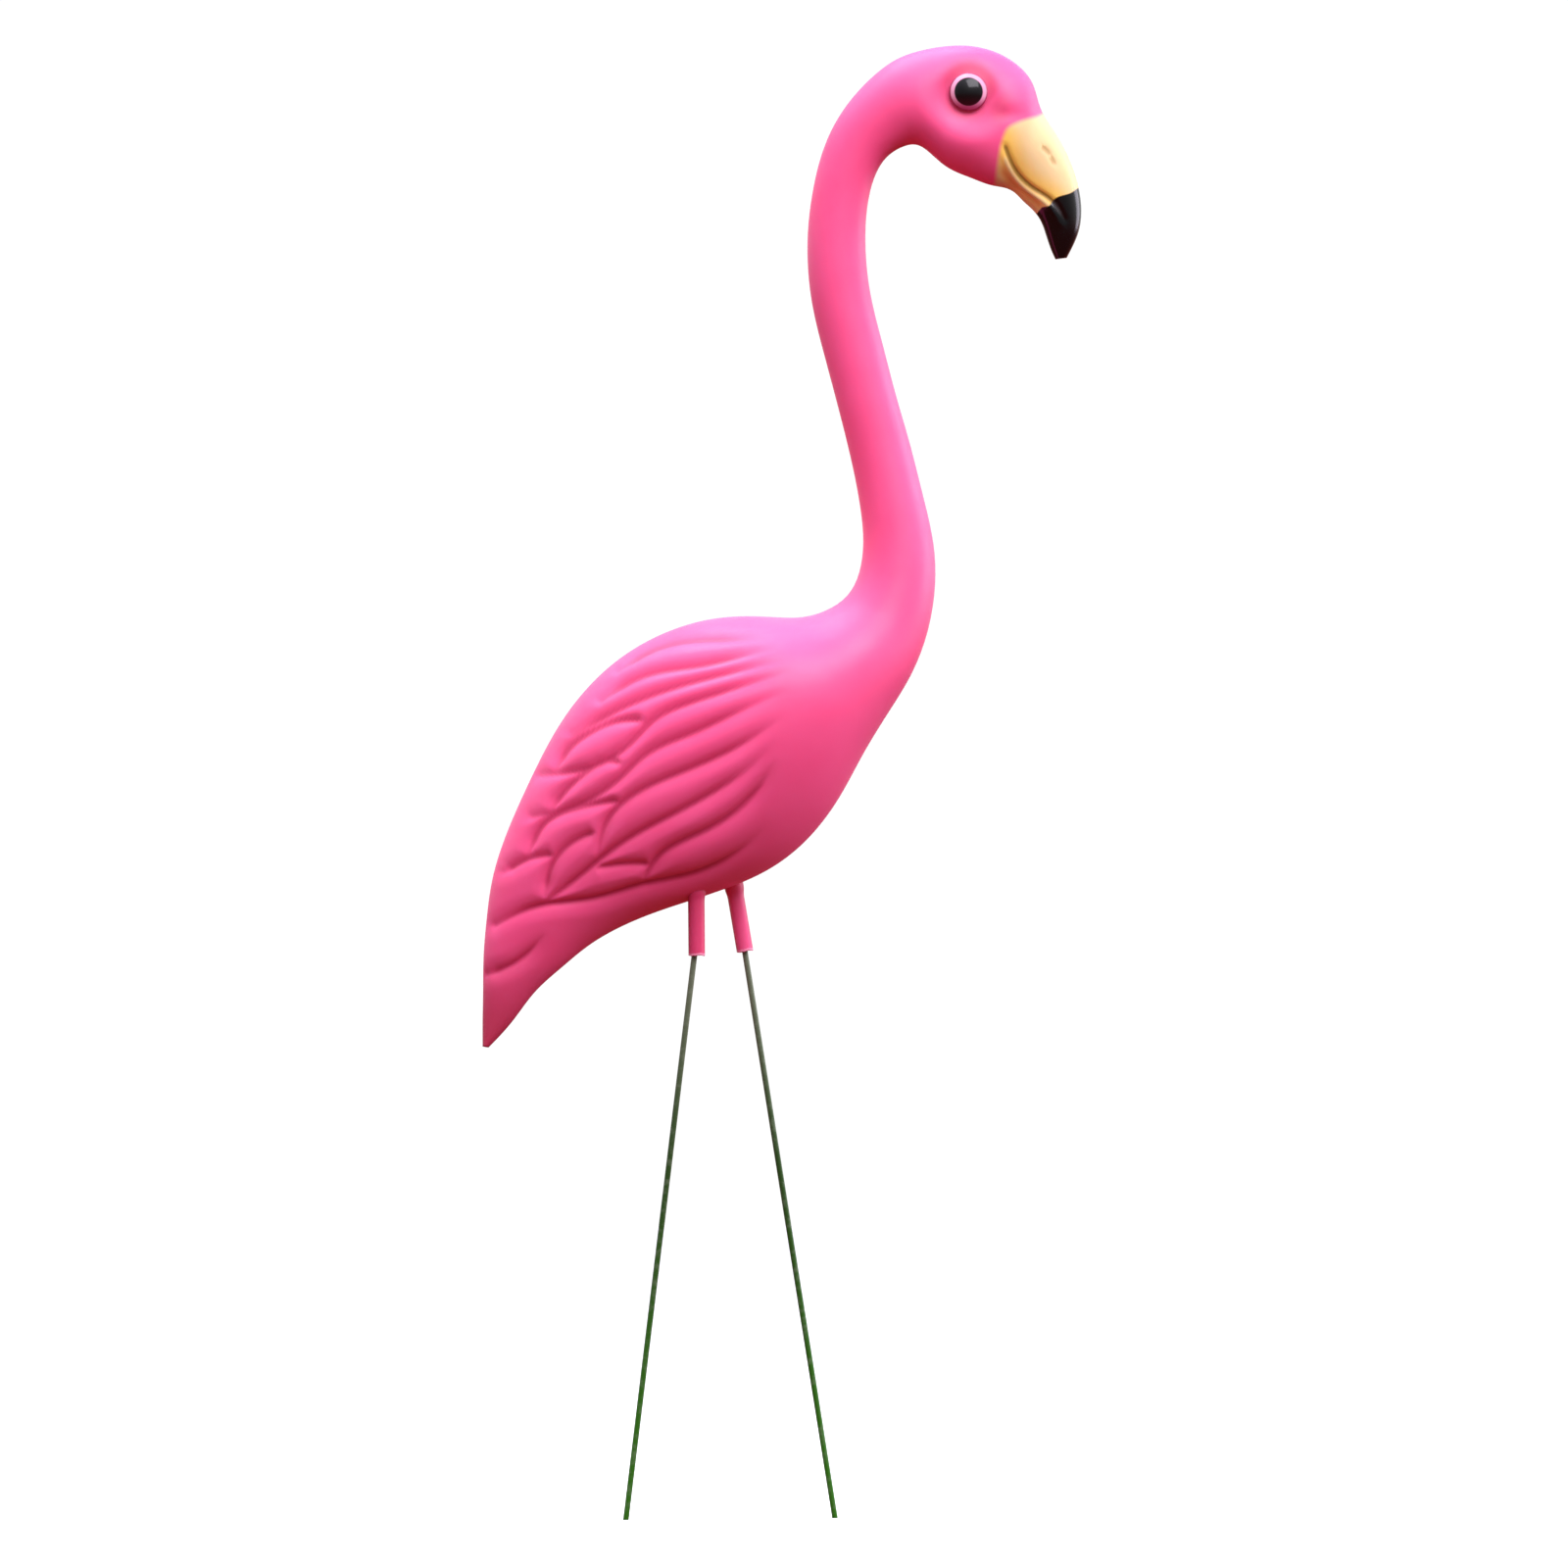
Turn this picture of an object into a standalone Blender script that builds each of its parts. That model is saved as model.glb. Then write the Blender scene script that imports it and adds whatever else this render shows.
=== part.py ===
"""A lawn flamingo: a blow-moulded figure with two set-in eyes, standing on two wire legs.

Metres, +Z up, z = 0 at the ground, the beak toward +X, the figure's own right side toward -Y.
The figure is a free form, so its outline and carving are written in thousandths of its height.
"""

import math

import bmesh
import bpy
import numpy as np
from mathutils import Matrix, Vector

# Overall sizes
FIGURE_HEIGHT = 0.586
TAIL_ABOVE_GROUND = 0.274
FOOT_SPREAD = 0.122
SHARE = FIGURE_HEIGHT / 1000

# Leg rods and the spouts that hold them
ROD_DIAMETER = 0.0034
ROD_INSERTION = 0.020
ROD_GAP = 0.0004
SPOUT_DIAMETER = 0.0097
SPOUT_WALL = 0.00095
SPOUT_LENGTH = 0.056
BORE_DEPTH = 0.036
SPOUT_SPREAD = 0.024
REAR_SPOUT_ROOT = (-34.4, 190.2)
REAR_SPOUT_LEAN = math.radians(0.5)
FRONT_SPOUT_ROOT = (-1.7, 192.7)
FRONT_SPOUT_LEAN = math.radians(9.6)

# Eyes
EYE_DIAMETER = 0.0222
EYE_DOME = 0.0048
EYE_SEAT = 0.0030
EYE_GAP = 0.0003
EYE_STEPS = 7
EYE_AT = (236.6, 952.2)
EYE_RIM_OUT = 38

# The soft flat that each eye sits on: its radius, the share of it that is fully pressed in,
# how softly it meets the cheek, and how far the rim of the eye stands out of it
FLAT_RADIUS = 54
FLAT_SHARE = 0.38
FLAT_BLUNT = 0.003
RIM_PROUD = 0.0006

# Feather grooves, then the mouth line
GROOVE_DEPTH = 0.0026
GROOVE_REACH = 0.0092
MOUTH_DEPTH = 0.0010
MOUTH_REACH = 0.0030

# A groove runs out over the last share of its length, down to this share of its depth
RUN_OUT_FROM = 0.85
RUN_OUT_TO = 0.5

# Sidewardness over which the carving fades in from the middle plane
CARVING_FROM = 0.05
CARVING_FULL = 0.35

# Fineness of round pieces and of the lines that grooves follow
ROUND_STEPS = 24
PATH_STEPS = 24
BAND_STEPS = 400

# Stations from the tail to the tip of the beak:
# back x and height, belly x and height, half width, all in thousandths of the figure's height.
# x is from the middle between the feet, heights are from the tip of the tail.
CARVED_BODY = [
    (-247, 3, -241, 2, 5),
    (-247, 30, -218.5, 26.5, 9),
    (-246.5, 61, -195.5, 56.5, 15),
    (-246, 94, -169, 81, 22),
    (-243, 130, -138.5, 105.5, 31),
    (-237, 171, -93, 129.5, 44),
    (-222, 218, -44, 147, 60),
    (-200.5, 266.5, 0, 162, 76),
    (-171, 322.5, 39, 180, 91),
    (-130.5, 372.5, 73, 206, 101),
    (-80.5, 408, 99.5, 237.5, 106),
    (-23.5, 428, 118, 268, 104),
]
NECK_AND_HEAD = [
    (29, 431.5, 136, 301, 95),
    (68, 430.5, 158.5, 337.5, 79),
    (95, 437.5, 180.5, 374.5, 63),
    (113.5, 449.5, 195, 411.5, 50),
    (126, 469, 203, 453, 42),
    (132, 503, 202.5, 501, 36.5),
    (128.5, 544, 192.5, 549, 33),
    (118.5, 594, 178, 606, 30.5),
    (106.5, 642, 164.5, 653, 29.5),
    (93.5, 691, 152, 701, 29),
    (81, 744, 140, 750, 29),
    (76.5, 801, 134.5, 801, 29),
    (83, 861, 139, 854, 29),
    (98, 910.5, 154, 887, 30),
    (123.5, 950.5, 174, 900, 33),
    (156.5, 981, 191.5, 898.5, 38),
    (189.5, 995, 214, 880, 42),
    (223, 1000, 238.5, 868.5, 43.5),
    (253.5, 997, 259, 861, 41.5),
    (281.5, 984, 274, 858, 36.5),
    (300.5, 963, 283.5, 853, 31),
    (309.5, 936, 291, 845.5, 26.5),
    (323, 914, 297, 840, 24),
    (336.5, 889, 302.5, 834.5, 22),
    (346, 861.5, 309, 825, 19.5),
    (349.5, 837, 314, 811.5, 17),
    (346, 812, 319, 797, 14),
    (335, 788.5, 323.5, 787, 10),
]

# Two bands, the carved one finer: rings along each, and points round a ring
CARVED_RINGS = 35
CARVED_POINTS = 84
PLAIN_RINGS = 44
PLAIN_POINTS = 28

# Share by which a ring's points are drawn together at its two sides, where the carving is
SIDE_GATHER = 0.22

# Grooves between the carved feathers, from the shoulder to the tips of the feathers.
# Depth and the share of the length over which the groove fades in, then the points it runs through.
GROOVES = [
    (0.5, 0.4, (48, 408), (-10, 410), (-54, 407), (-88, 395), (-113, 378)),
    (0.85, 0.4, (53, 400), (19, 394), (-44, 382), (-76, 377), (-103, 367), (-130, 348)),
    (1.0, 0.4, (65, 389), (-10, 374), (-73, 356), (-120, 336), (-159, 314)),
    (1.0, 0.35, (71, 378), (21, 365), (-43, 345), (-78, 328), (-101, 305), (-139, 282), (-192, 274)),
    (1.0, 0.05, (-80, 328), (-113, 328), (-146, 314), (-166, 297), (-175, 279)),
    (1.0, 0.35, (65, 360), (1, 333), (-43, 313), (-86, 293), (-108, 273), (-152, 244), (-198, 232)),
    (1.0, 0.05, (-103, 283), (-120, 288), (-150, 273), (-174, 248), (-180, 238)),
    (1.0, 0.35, (61, 337), (7, 301), (-50, 275), (-103, 249), (-124, 226), (-131, 193)),
    (1.0, 0.05, (-103, 249), (-148, 242), (-190, 222), (-202, 194)),
    (1.0, 0.35, (50, 315), (31, 291), (0, 266), (-59, 232), (-109, 204), (-155, 168), (-190, 142)),
    (0.9, 0.05, (-130, 218), (-161, 204), (-179, 182), (-184, 153)),
    (0.8, 0.05, (-174, 194), (-199, 191), (-226, 177)),
    (1.0, 0.3, (48, 294), (29, 260), (-28, 215), (-75, 186), (-86, 163)),
    (0.8, 0.05, (-77, 184), (-102, 184), (-136, 180)),
    (1.0, 0.3, (47, 233), (-5, 187), (-41, 172), (-85, 163), (-137, 149), (-201, 140), (-235, 124)),
    (0.9, 0.2, (-181, 120), (-210, 89), (-243, 75)),
]

# The mouth, written in the same way
MOUTH_LINES = [
    (1.0, 0.1, (271, 905), (275, 893), (284.5, 873), (301, 857), (319, 845), (332, 826)),
]

# Hollows and swellings of the head: x, height, radius along x, radius along z, all shares, then metres out
HEAD_FORMS = [
    (238, 988, 42, 9, 0.0020),
    (246, 975, 30, 9, -0.0018),
    (272, 952, 10, 22, -0.0018),
    (291, 955, 10, 20, 0.0010),
    (238, 898, 28, 19, 0.0016),
    (277, 930, 17, 8, -0.0010),
    (300, 900, 16, 20, 0.0006),
]


def clear_scene():
    for obj in list(bpy.data.objects):
        bpy.data.objects.remove(obj, do_unlink=True)


def collection_of(name, hidden=False):
    found = bpy.data.collections.new(name)
    bpy.context.scene.collection.children.link(found)
    found.hide_render = hidden
    return found


def material_of(name, colour, roughness, metallic=0.0):
    material = bpy.data.materials.new(name)
    material.use_nodes = True
    shader = material.node_tree.nodes["Principled BSDF"]
    shader.inputs["Base Color"].default_value = (*colour, 1)
    shader.inputs["Roughness"].default_value = roughness
    shader.inputs["Metallic"].default_value = metallic
    return material


def object_of(name, mesh, collection, material=None):
    obj = bpy.data.objects.new(name, mesh)
    collection.objects.link(obj)
    if material:
        mesh.materials.clear()
        mesh.materials.append(material)
    return obj


def helper_of(name, mesh, collection):
    obj = object_of(name, mesh, collection)
    obj.hide_render = True
    obj.display_type = "WIRE"
    return obj


def place(x, height):
    """A point of the figure's own drawing, in metres in the world, on the middle plane."""
    return Vector((x * SHARE, 0, TAIL_ABOVE_GROUND + height * SHARE))


# Curves and easing


def smooth_step(low, high, value):
    share = np.clip((value - low) / (high - low), 0, 1)
    return share * share * (3 - 2 * share)


def spline_through(knots, values, at):
    """Natural cubic spline through the rows of values, which lie at the knots."""
    count = len(knots)
    gap = np.diff(knots)
    system = np.eye(count)
    wanted = np.zeros_like(values)
    for i in range(1, count - 1):
        system[i, i - 1 : i + 2] = gap[i - 1], 2 * (gap[i - 1] + gap[i]), gap[i]
        wanted[i] = 6 * ((values[i + 1] - values[i]) / gap[i] - (values[i] - values[i - 1]) / gap[i - 1])
    bend = np.linalg.solve(system, wanted)
    k = np.clip(np.searchsorted(knots, at) - 1, 0, count - 2)
    width = gap[k][:, None]
    right = (at - knots[k])[:, None] / width
    left = 1 - right
    curve = left * values[k] + right * values[k + 1]
    return curve + ((left**3 - left) * bend[k] + (right**3 - right) * bend[k + 1]) * width**2 / 6


def lengths_along(points):
    """Length run at each point of a line of points."""
    steps = np.linalg.norm(np.diff(points, axis=0), axis=1)
    return np.concatenate([[0], np.cumsum(steps)])


# The figure


def ring_grid(drawn, count):
    """Rings of points for rows of stations, and how far each point is to the side, from 0 to 1."""
    turn = np.linspace(0, 2 * np.pi, count, endpoint=False)
    turn = turn + SIDE_GATHER * np.sin(2 * turn)
    upward = np.cos(turn)[None, :]
    sideways = np.sin(turn)[None, :]
    middle = (drawn[:, 0:2] + drawn[:, 2:4]) / 2
    half = (drawn[:, 0:2] - drawn[:, 2:4]) / 2
    grid = np.empty((len(drawn), count, 3))
    grid[..., 0] = middle[:, 0:1] + half[:, 0:1] * upward
    grid[..., 1] = drawn[:, 4:5] * sideways
    grid[..., 2] = middle[:, 1:2] + half[:, 1:2] * upward
    return grid * SHARE + np.array(place(0, 0)), np.abs(sideways)


def outward_of(grid):
    """Unit normals of a grid of points that closes on itself round each ring."""
    along = np.gradient(grid, axis=0)
    around = np.roll(grid, -1, axis=1) - np.roll(grid, 1, axis=1)
    normal = np.cross(along, around)
    return normal / np.linalg.norm(normal, axis=2, keepdims=True)


def groove_cut(x, z, line, reach):
    """How far a groove is cut in at each point of the side view, from 0 to 1 times its own depth."""
    depth, fade, *points = line
    points = np.array(points, float)
    knots = lengths_along(points)
    at = np.linspace(0, knots[-1], PATH_STEPS)
    path = spline_through(knots, points, at)
    path = np.array(place(0, 0))[[0, 2]] + path * SHARE
    cut = np.zeros_like(x)
    for i in range(len(path) - 1):
        start, step = path[i], path[i + 1] - path[i]
        along = ((x - start[0]) * step[0] + (z - start[1]) * step[1]) / (step @ step)
        along = np.clip(along, 0, 1)
        away = np.hypot(x - start[0] - along * step[0], z - start[1] - along * step[1])
        run = (i + along) / (len(path) - 1)
        run_out = 1 - (1 - RUN_OUT_TO) * smooth_step(RUN_OUT_FROM, 1, run)
        ease = depth * smooth_step(0, fade, run) * run_out
        cut = np.maximum(cut, ease * np.clip(1 - away / reach, 0, 1) ** 2)
    return cut


def eye_flat(x, z):
    """How much the skin is pressed flat round an eye at each point of the side view, from 0 to 1."""
    middle = place(*EYE_AT)
    away = np.hypot(x - middle.x, z - middle.z) / (FLAT_RADIUS * SHARE)
    return 1 - smooth_step(FLAT_SHARE, 1, away)


def carving(x, z):
    """Metres that the carving stands out (or, below zero, in) at each point of the side view."""
    feathers = np.zeros_like(x)
    for line in GROOVES:
        feathers = np.maximum(feathers, groove_cut(x, z, line, GROOVE_REACH))
    mouth = np.zeros_like(x)
    for line in MOUTH_LINES:
        mouth = np.maximum(mouth, groove_cut(x, z, line, MOUTH_REACH))
    out = -GROOVE_DEPTH * feathers - MOUTH_DEPTH * mouth
    for centre_x, centre_z, radius_x, radius_z, height in HEAD_FORMS:
        centre = place(centre_x, centre_z)
        away = ((x - centre.x) / (radius_x * SHARE)) ** 2 + ((z - centre.z) / (radius_z * SHARE)) ** 2
        out += height * np.exp(-away)
    return out


def ring_positions(knots, drawn, low, high, count):
    """Where the rings of a band stand: they share its length and its bending evenly."""
    fine = np.linspace(low, high, BAND_STEPS)
    lines = spline_through(knots, drawn, fine)
    effort = np.zeros(len(fine))
    for side in (lines[:, 0:2], lines[:, 2:4]):
        step = np.gradient(side, axis=0)
        bend = np.abs(np.gradient(np.unwrap(np.arctan2(step[:, 1], step[:, 0]))))
        run = np.linalg.norm(step, axis=1)
        effort += run / run.sum() + bend / bend.sum()
    effort = np.cumsum(effort) - effort[0]
    return np.interp(np.linspace(0, effort[-1], count), effort, fine)


def carved_rings(stations, around):
    """Rings for rows of stations, with the carving raised along the normals.

    The carving fades out toward the middle plane, so that the outline stays as drawn,
    and the cheek is pressed in softly to the depth at which the eyes are set.
    """
    grid, sidewardness = ring_grid(stations, around)
    out = carving(grid[..., 0], grid[..., 2]) * smooth_step(CARVING_FROM, CARVING_FULL, sidewardness)
    carved = grid + outward_of(grid) * out[..., None]
    over = np.abs(carved[..., 1]) - (EYE_RIM_OUT * SHARE - RIM_PROUD)
    inward = (over + np.hypot(over, FLAT_BLUNT)) / 2
    carved[..., 1] -= np.sign(carved[..., 1]) * eye_flat(grid[..., 0], grid[..., 2]) * inward
    return list(carved)


def figure_rings():
    """All the figure's rings from the tail to the beak."""
    drawn = np.array(CARVED_BODY + NECK_AND_HEAD, float)
    knots = (lengths_along(drawn[:, 0:2]) + lengths_along(drawn[:, 2:4])) / 2
    border = knots[len(CARVED_BODY)]
    carved_at = np.linspace(0, border, CARVED_RINGS)
    plain_at = ring_positions(knots, drawn, border, knots[-1], PLAIN_RINGS)
    carved = carved_rings(spline_through(knots, drawn, carved_at), CARVED_POINTS)
    plain = carved_rings(spline_through(knots, drawn, plain_at), PLAIN_POINTS)
    return carved + plain[1:]


def join_rings(mesh, near, far):
    """Faces between a ring and the next one, which has as many points or a whole share of them."""
    skip = len(near) // len(far)
    for i in range(len(far)):
        here, after = far[i], far[(i + 1) % len(far)]
        run = [near[(skip * i + j) % len(near)] for j in range(skip + 1)]
        if skip == 1:
            mesh.faces.new((run[0], run[1], after, here))
            continue
        turn = skip // 2 + 1
        for j in range(skip):
            mesh.faces.new((run[j], run[j + 1], here if j < turn else after))
        mesh.faces.new((run[turn], after, here))


def figure_mesh():
    """The figure: rings joined from the tail to the beak, with a flat cap at each end."""
    mesh = bmesh.new()
    rings = [[mesh.verts.new(point) for point in ring] for ring in figure_rings()]
    for near, far in zip(rings, rings[1:]):
        join_rings(mesh, near, far)
    mesh.faces.new(rings[0])
    mesh.faces.new(rings[-1])
    bmesh.ops.recalc_face_normals(mesh, faces=mesh.faces)
    data = bpy.data.meshes.new("figure")
    mesh.to_mesh(data)
    mesh.free()
    return data


# Spouts, bores and rods


def bar_mesh(name, low, high, diameter, ground_cut=False):
    """A round bar between two points.

    With ground_cut it runs on past the low end and is cut level at z = 0.
    """
    axis = (high - low).normalized()
    if ground_cut:
        low = low - axis * diameter
    mesh = bmesh.new()
    bmesh.ops.create_cone(
        mesh,
        cap_ends=True,
        segments=ROUND_STEPS,
        radius1=diameter / 2,
        radius2=diameter / 2,
        depth=(high - low).length,
    )
    turn = axis.to_track_quat("Z", "Y").to_matrix().to_4x4()
    bmesh.ops.transform(mesh, matrix=Matrix.Translation((low + high) / 2) @ turn, verts=mesh.verts)
    if ground_cut:
        everything = mesh.verts[:] + mesh.edges[:] + mesh.faces[:]
        cut = bmesh.ops.bisect_plane(
            mesh, geom=everything, plane_co=(0, 0, 0), plane_no=(0, 0, -1), clear_outer=True
        )
        edges = [found for found in cut["geom_cut"] if isinstance(found, bmesh.types.BMEdge)]
        bmesh.ops.contextual_create(mesh, geom=edges)
        bmesh.ops.recalc_face_normals(mesh, faces=mesh.faces)
    data = bpy.data.meshes.new(name)
    mesh.to_mesh(data)
    mesh.free()
    return data


def spout_line(root_at, lean, side):
    """Mouth and upward axis of a spout that hangs from its root inside the belly."""
    axis = Vector((-math.sin(lean), 0, math.cos(lean)))
    mouth = place(*root_at) - axis * SPOUT_LENGTH
    mouth.y = side * SPOUT_SPREAD / 2
    return mouth, axis


def rod_line(foot_x, mouth, axis):
    """Foot and upper end of a rod.

    It crosses the middle of the bore and goes in as far as the bore's play lets it.
    """
    foot = Vector((foot_x, mouth.y, 0))
    play = SPOUT_DIAMETER / 2 - SPOUT_WALL - ROD_DIAMETER / 2 - ROD_GAP
    lean = max(axis.angle(mouth - foot), 0.001)
    reach = min(ROD_INSERTION / 2, play / math.tan(lean))
    crossing = mouth + axis * reach
    return foot, crossing + (crossing - foot).normalized() * reach


# Eyes


def eye_profile():
    """Half section of an eye in its own frame: radius, and height over the seat."""
    radius = EYE_DIAMETER / 2
    ball = (radius**2 + EYE_DOME**2) / (2 * EYE_DOME)
    widest = math.asin(radius / ball)
    profile = [(0, 0), (radius, 0)]
    for i in range(EYE_STEPS + 1):
        angle = widest * (1 - i / EYE_STEPS)
        profile.append((ball * math.sin(angle), EYE_SEAT + ball * math.cos(angle) - ball + EYE_DOME))
    return profile


def eye_mesh(name, seat, side):
    """A domed button turned round its axis, looking out sideways from its seat."""
    mesh = bmesh.new()
    line = [mesh.verts.new((radius, 0, height)) for radius, height in eye_profile()]
    edges = [mesh.edges.new(pair) for pair in zip(line, line[1:])]
    bmesh.ops.spin(
        mesh,
        geom=line + edges,
        axis=(0, 0, 1),
        cent=(0, 0, 0),
        angle=2 * math.pi,
        steps=ROUND_STEPS,
        use_merge=True,
    )
    bmesh.ops.remove_doubles(mesh, verts=mesh.verts, dist=1e-6)
    turn = Vector((0, side, 0)).to_track_quat("Z", "Y").to_matrix().to_4x4()
    bmesh.ops.transform(mesh, matrix=Matrix.Translation(seat) @ turn, verts=mesh.verts)
    bmesh.ops.recalc_face_normals(mesh, faces=mesh.faces)
    data = bpy.data.meshes.new(name)
    mesh.to_mesh(data)
    mesh.free()
    return data


# Assembly


def add_boolean(obj, operation, other):
    modifier = obj.modifiers.new(other.name, "BOOLEAN")
    modifier.operation = operation
    modifier.solver = "EXACT"
    modifier.object = other


def baked(obj):
    """The object's mesh with its modifiers applied, shaded smooth but for its sharp corners."""
    graph = bpy.context.evaluated_depsgraph_get()
    mesh = bpy.data.meshes.new_from_object(obj.evaluated_get(graph))
    obj.modifiers.clear()
    obj.data = mesh
    smooth(mesh)


def smooth(mesh):
    mesh.shade_smooth()
    mesh.set_sharp_from_angle(angle=math.radians(40))


def make_body(parts, cutters, spouts, seats):
    pink = material_of("body_plastic", (0.95, 0.12, 0.32), 0.35)
    body = object_of("body", figure_mesh(), parts, pink)
    for name, (mouth, axis) in spouts.items():
        tube = bar_mesh("spout_" + name, mouth, mouth + axis * SPOUT_LENGTH, SPOUT_DIAMETER)
        bore = bar_mesh(
            "bore_" + name,
            mouth - axis * SPOUT_DIAMETER,
            mouth + axis * BORE_DEPTH,
            SPOUT_DIAMETER - 2 * SPOUT_WALL,
        )
        add_boolean(body, "UNION", helper_of("spout_" + name, tube, cutters))
        add_boolean(body, "DIFFERENCE", helper_of("bore_" + name, bore, cutters))
    for name, (seat, side) in seats.items():
        inner = seat - Vector((0, side * EYE_GAP, 0))
        outer = seat + Vector((0, side * EYE_DIAMETER, 0))
        socket = bar_mesh("socket_" + name, inner, outer, EYE_DIAMETER + 2 * EYE_GAP)
        add_boolean(body, "DIFFERENCE", helper_of("socket_" + name, socket, cutters))
    baked(body)


def make_eyes(parts, seats):
    for name, (seat, side) in seats.items():
        mesh = eye_mesh("eye_" + name, seat, side)
        smooth(mesh)
        black = material_of("eye_" + name + "_acrylic", (0.02, 0.015, 0.02), 0.1)
        object_of("eye_" + name, mesh, parts, black)


def make_rods(parts, spouts):
    for name, (mouth, axis) in spouts.items():
        foot_x = FOOT_SPREAD / 2 if name == "front" else -FOOT_SPREAD / 2
        foot, top = rod_line(foot_x, mouth, axis)
        mesh = bar_mesh("leg_rod_" + name, foot, top, ROD_DIAMETER, ground_cut=True)
        smooth(mesh)
        steel = material_of("rod_" + name + "_paint", (0.05, 0.12, 0.04), 0.45, 0.2)
        object_of("leg_rod_" + name, mesh, parts, steel)


def main():
    clear_scene()
    parts = collection_of("lawn_flamingo")
    cutters = collection_of("cutters", hidden=True)
    spouts = {
        "rear": spout_line(REAR_SPOUT_ROOT, REAR_SPOUT_LEAN, -1),
        "front": spout_line(FRONT_SPOUT_ROOT, FRONT_SPOUT_LEAN, 1),
    }
    seats = {}
    for name, side in (("right", -1), ("left", 1)):
        seat = place(*EYE_AT)
        seat.y = side * (EYE_RIM_OUT * SHARE - EYE_SEAT)
        seats[name] = (seat, side)
    make_body(parts, cutters, spouts, seats)
    make_eyes(parts, seats)
    make_rods(parts, spouts)


main()
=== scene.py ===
# %% [markdown]
# Lawn flamingo, dressed on its CAD frame
#
# The object is a blow-moulded plastic flamingo on two wire legs. The CAD frame gives the true sizes and the
# places of the pieces. This lesson makes the finer surfaces (the carved skin, the leg spouts, the eyes), the
# real materials, and a plain studio to look at them in. Everything is in metres, +Z is up, the beak is
# toward +X and the camera looks along +Y.

import math

import bpy
import numpy as np
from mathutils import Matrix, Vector


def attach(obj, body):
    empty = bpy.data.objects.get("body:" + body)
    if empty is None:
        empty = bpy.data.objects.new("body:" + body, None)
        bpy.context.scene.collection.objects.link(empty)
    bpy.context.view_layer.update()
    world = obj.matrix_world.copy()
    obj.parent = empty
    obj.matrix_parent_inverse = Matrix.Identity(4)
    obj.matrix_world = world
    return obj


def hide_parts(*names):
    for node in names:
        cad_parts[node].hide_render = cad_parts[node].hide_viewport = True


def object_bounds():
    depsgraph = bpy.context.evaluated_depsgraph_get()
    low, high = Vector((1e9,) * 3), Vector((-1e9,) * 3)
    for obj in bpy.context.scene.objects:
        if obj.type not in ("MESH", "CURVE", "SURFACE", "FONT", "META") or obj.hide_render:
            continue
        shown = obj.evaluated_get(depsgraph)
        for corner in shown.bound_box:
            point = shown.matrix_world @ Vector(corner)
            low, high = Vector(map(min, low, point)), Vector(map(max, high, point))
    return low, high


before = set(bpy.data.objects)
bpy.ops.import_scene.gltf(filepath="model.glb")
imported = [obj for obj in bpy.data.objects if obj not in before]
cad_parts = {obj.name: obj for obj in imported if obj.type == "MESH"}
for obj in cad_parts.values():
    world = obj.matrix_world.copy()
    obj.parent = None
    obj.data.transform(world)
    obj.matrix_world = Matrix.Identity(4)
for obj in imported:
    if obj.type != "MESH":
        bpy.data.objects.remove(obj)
cad_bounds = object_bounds()
print("CAD box:", [[round(v, 4) for v in corner] for corner in cad_bounds])

# %% [markdown]
# The drawing of the figure
#
# A free form like this is drawn by a sculptor, not calculated, so its outline is written down as stations: a
# point on the back, a point on the belly and a half width, in thousandths of the figure's height. A natural
# cubic spline runs through them, as a bent batten would, so a few stations give a smooth figure at any
# fineness. The points were measured on the outline in the photo, and the half widths are guessed.

# %% The stations
FIGURE_HEIGHT = 0.586
TAIL_ABOVE_GROUND = 0.274
SHARE = FIGURE_HEIGHT / 1000

# Back x and height, belly x and height, half width, from the tip of the tail to the tip of the beak.
STATIONS = np.array(
    [
        (-247, 3, -241, 2, 5),
        (-247, 30, -218.5, 26.5, 9),
        (-246.5, 61, -195.5, 56.5, 15),
        (-246, 94, -169, 81, 22),
        (-243, 130, -138.5, 105.5, 31),
        (-237, 171, -93, 129.5, 44),
        (-222, 218, -44, 147, 60),
        (-200.5, 266.5, 0, 162, 76),
        (-171, 322.5, 39, 180, 91),
        (-130.5, 372.5, 73, 206, 101),
        (-80.5, 408, 99.5, 237.5, 106),
        (-23.5, 428, 118, 268, 104),
        (29, 431.5, 136, 301, 95),
        (68, 430.5, 158.5, 337.5, 79),
        (95, 437.5, 180.5, 374.5, 63),
        (113.5, 449.5, 195, 411.5, 50),
        (126, 469, 203, 453, 42),
        (132, 503, 202.5, 501, 36.5),
        (128.5, 544, 192.5, 549, 33),
        (118.5, 594, 178, 606, 30.5),
        (106.5, 642, 164.5, 653, 29.5),
        (93.5, 691, 152, 701, 29),
        (81, 744, 140, 750, 29),
        (76.5, 801, 134.5, 801, 29),
        (83, 861, 139, 854, 29),
        (98, 910.5, 154, 887, 30),
        (123.5, 950.5, 174, 900, 33),
        (156.5, 981, 191.5, 898.5, 38),
        (189.5, 995, 214, 880, 42),
        (223, 1000, 238.5, 868.5, 43.5),
        (253.5, 997, 259, 861, 41.5),
        (281.5, 984, 274, 858, 36.5),
        (300.5, 963, 283.5, 853, 31),
        (309.5, 936, 291, 845.5, 26.5),
        (323, 914, 297, 840, 24),
        (336.5, 889, 302.5, 834.5, 22),
        (346, 861.5, 309, 825, 19.5),
        (349.5, 837, 314, 811.5, 17),
        (346, 812, 319, 797, 14),
        (335, 788.5, 323.5, 787, 10),
    ],
    float,
)
NECK_FROM, HEAD_FROM = 14, 24


def place(x, height):
    """A point of the drawing, in metres in the world, on the middle plane."""
    return Vector((x * SHARE, 0, TAIL_ABOVE_GROUND + height * SHARE))


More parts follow.
